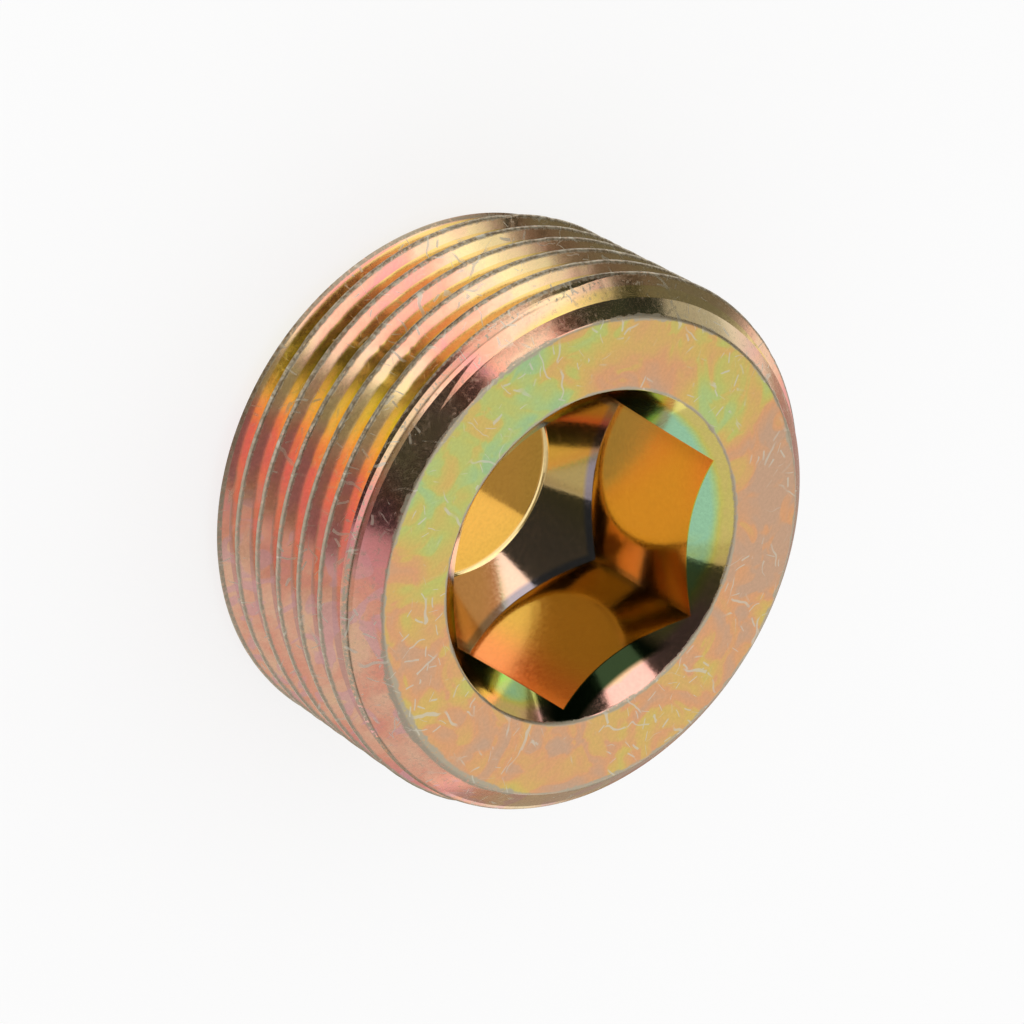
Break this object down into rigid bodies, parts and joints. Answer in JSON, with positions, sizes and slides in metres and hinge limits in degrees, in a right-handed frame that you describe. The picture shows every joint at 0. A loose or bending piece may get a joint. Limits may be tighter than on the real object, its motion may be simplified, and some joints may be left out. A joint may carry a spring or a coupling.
{
  "type": "hex socket taper pipe plug",
  "caption": "Headless steel plug with a right-hand taper pipe thread and a countersunk hex socket, for closing a threaded port.",
  "frame": {"origin": "centre of the small end face, on the plug's axis", "axes": "+Z along the plug's axis, out of the socket in the large end; two opposite corners of the socket lie on the Y axis"},
  "size_m": [0.0336, 0.0336, 0.016],
  "materials": {
    "plated_steel": "zinc plate with a yellow chromate that shows bands of green, gold and pink, satin, worn to grey on the thread crests and the rims"
  },
  "bodies": {
    "root": {"plug_body": "plated_steel"}
  },
  "joints": []
}
